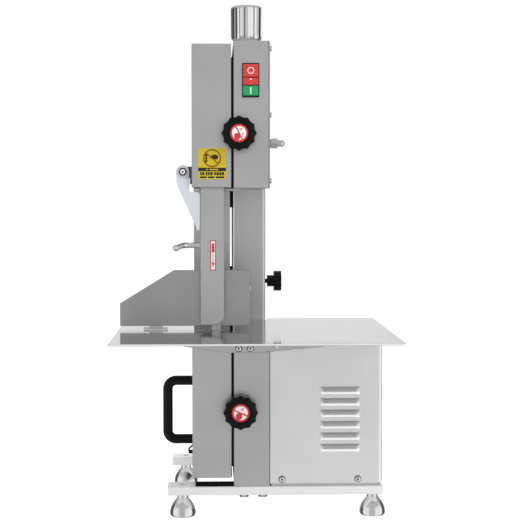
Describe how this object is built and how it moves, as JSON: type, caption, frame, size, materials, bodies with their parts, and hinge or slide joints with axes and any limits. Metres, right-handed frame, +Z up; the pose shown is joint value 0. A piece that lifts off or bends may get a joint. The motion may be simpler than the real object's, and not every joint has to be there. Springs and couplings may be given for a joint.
{
  "type": "bone saw",
  "caption": "Countertop band saw for frozen meat and bone: C-frame with hinged door, sheet-steel table, gauge plate, adjustable blade guard and sprung blade tension.",
  "frame": {"origin": "on the floor under the middle of the overall box", "axes": "+X from the operator's side across the table to the motor side, +Y from the control face to the rear, +Z up"},
  "size_m": [0.449, 0.486, 0.851],
  "materials": {
    "satin_aluminium": "satin anodised",
    "chrome": "polished",
    "bolt_steel": "zinc plated",
    "casing_steel": "satin stainless",
    "cover_steel": "satin stainless",
    "table_steel": "bright stainless",
    "gauge_steel": "satin stainless",
    "dark_steel": "satin black",
    "black_rubber": "matte",
    "black_plastic": "gloss moulded",
    "white_plastic": "matte",
    "clear_plastic": "translucent sheet",
    "motor_paint": "grey enamel",
    "bearing_steel": "ground",
    "shaft_steel": "turned",
    "wheel_aluminium": "turned",
    "slide_iron": "machined",
    "spring_steel": "oiled",
    "blade_steel": "ground edge",
    "guide_brass": "machined",
    "switch_black": "moulded",
    "button_red": "moulded",
    "button_green": "moulded",
    "tray_black": "powder coated"
  },
  "bodies": {
    "frame": {"base_bars": "satin_aluminium", "feet": "chrome", "base_bolts": "bolt_steel", "lower_housing": "casing_steel", "column": "casing_steel", "upper_housing": "casing_steel", "head_side_cover": "casing_steel", "head_floor_plate": "casing_steel", "door_gaskets": "black_rubber", "hinge_frame_leaves": "bolt_steel", "hinge_pins": "bolt_steel", "clamp_studs": "bolt_steel", "table": "table_steel", "table_front_bracket": "casing_steel", "table_rear_bar": "casing_steel", "table_bolts": "bolt_steel", "motor_cover": "cover_steel", "motor_base_plate": "casing_steel", "cover_screws": "bolt_steel", "motor_stator": "motor_paint", "motor_end_bells": "motor_paint", "motor_bearings": "bearing_steel", "blade": "blade_steel", "lower_blade_guide": "guide_brass", "wheel_scraper": "white_plastic", "guard_track": "bolt_steel", "rod_bushes": "guide_brass", "switch_housing": "switch_black", "cable_gland": "black_plastic"},
    "door": {"door": "casing_steel", "door_lugs": "bolt_steel", "door_handle": "black_plastic", "hinge_door_leaves": "bolt_steel", "swing_guard_bracket": "dark_steel", "swing_guard_bolt": "bolt_steel", "door_hook": "black_plastic"},
    "swing_guard": {"swing_guard": "clear_plastic"},
    "upper_clamp_knob": {"upper_clamp_knob": "black_plastic"},
    "lower_clamp_knob": {"lower_clamp_knob": "black_plastic"},
    "tension_knob": {"tension_knob": "chrome", "tension_screw": "shaft_steel"},
    "wheel_slide": {"wheel_slide_block": "slide_iron", "upper_axle": "shaft_steel", "tension_spring": "spring_steel", "tension_nut": "bolt_steel"},
    "upper_wheel": {"upper_wheel": "wheel_aluminium", "upper_wheel_bearings": "bearing_steel"},
    "lower_wheel": {"lower_wheel": "wheel_aluminium", "motor_rotor": "shaft_steel"},
    "blade_guard": {"guard_plate": "casing_steel", "guard_handle": "chrome", "upper_blade_guide": "guide_brass"},
    "gauge": {"gauge_plate": "gauge_steel", "gauge_rod": "chrome", "gauge_foot": "chrome"},
    "gauge_lock_knob": {"gauge_lock_knob": "black_plastic"},
    "tracking_screw": {"tracking_screw": "bolt_steel"},
    "stop_button": {"stop_button": "button_red"},
    "start_button": {"start_button": "button_green"},
    "scrap_tray": {"scrap_tray": "tray_black"}
  },
  "joints": [
    {"name": "door_swing", "type": "hinge", "parent": "frame", "child": "door", "pos_m": [-0.035, 0.239, 0.4], "axis": [0, 0, -1], "range_deg": [0, 100]},
    {"name": "swing_guard_pivot", "type": "hinge", "parent": "door", "child": "swing_guard", "pos_m": [-0.1158, -0.045, 0.5676], "axis": [0, 1, 0], "range_deg": [0, 75]},
    {"name": "upper_clamp_knob_turn", "type": "hinge", "parent": "frame", "child": "upper_clamp_knob", "pos_m": [-0.0245, -0.065, 0.6292], "axis": [0, -1, 0], "range_deg": [0, 1080]},
    {"name": "lower_clamp_knob_turn", "type": "hinge", "parent": "frame", "child": "lower_clamp_knob", "pos_m": [-0.0222, -0.065, 0.1767], "axis": [0, -1, 0], "range_deg": [0, 1080]},
    {"name": "tension_knob_turn", "type": "hinge", "parent": "frame", "child": "tension_knob", "pos_m": [-0.0092, 0.069, 0.8], "axis": [0, 0, 1], "range_deg": [0, 2160]},
    {"name": "tension_slide", "type": "slide", "parent": "frame", "child": "wheel_slide", "axis": [0, 0, -1], "range_m": [0, 0.0121]},
    {"name": "lower_wheel_spin", "type": "hinge", "parent": "frame", "child": "lower_wheel", "pos_m": [-0.06, 0.069, 0.178], "axis": [1, 0, 0], "continuous": true},
    {"name": "upper_wheel_spin", "type": "hinge", "parent": "wheel_slide", "child": "upper_wheel", "pos_m": [-0.06, 0.069, 0.666], "axis": [1, 0, 0], "continuous": true},
    {"name": "guard_slide", "type": "slide", "parent": "frame", "child": "blade_guard", "axis": [0, 0, 1], "range_m": [0, 0.065]},
    {"name": "gauge_slide", "type": "slide", "parent": "frame", "child": "gauge", "axis": [0, 1, 0], "range_m": [-0.016, 0.13]},
    {"name": "gauge_lock_knob_turn", "type": "hinge", "parent": "frame", "child": "gauge_lock_knob", "pos_m": [0.04, 0.187, 0.3752], "axis": [1, 0, 0], "range_deg": [0, 720]},
    {"name": "tracking_screw_turn", "type": "hinge", "parent": "frame", "child": "tracking_screw", "pos_m": [0.04, 0.069, 0.6182], "axis": [1, 0, 0], "range_deg": [-360, 360]},
    {"name": "stop_button_press", "type": "slide", "parent": "frame", "child": "stop_button", "axis": [0, 1, 0], "range_m": [0, 0.003], "stiffness_N_per_m": 300},
    {"name": "start_button_press", "type": "slide", "parent": "frame", "child": "start_button", "axis": [0, 1, 0], "range_m": [0, 0.003], "stiffness_N_per_m": 300},
    {"name": "scrap_tray_slide", "type": "slide", "parent": "frame", "child": "scrap_tray", "axis": [-1, 0, 0], "range_m": [0, 0.1]}
  ],
  "couplings": [
    {"joint": "tension_slide", "follows": "tension_knob_turn", "m_per_rad": 0.00031831},
    {"joint": "upper_wheel_spin", "follows": "lower_wheel_spin", "ratio": 1}
  ]
}
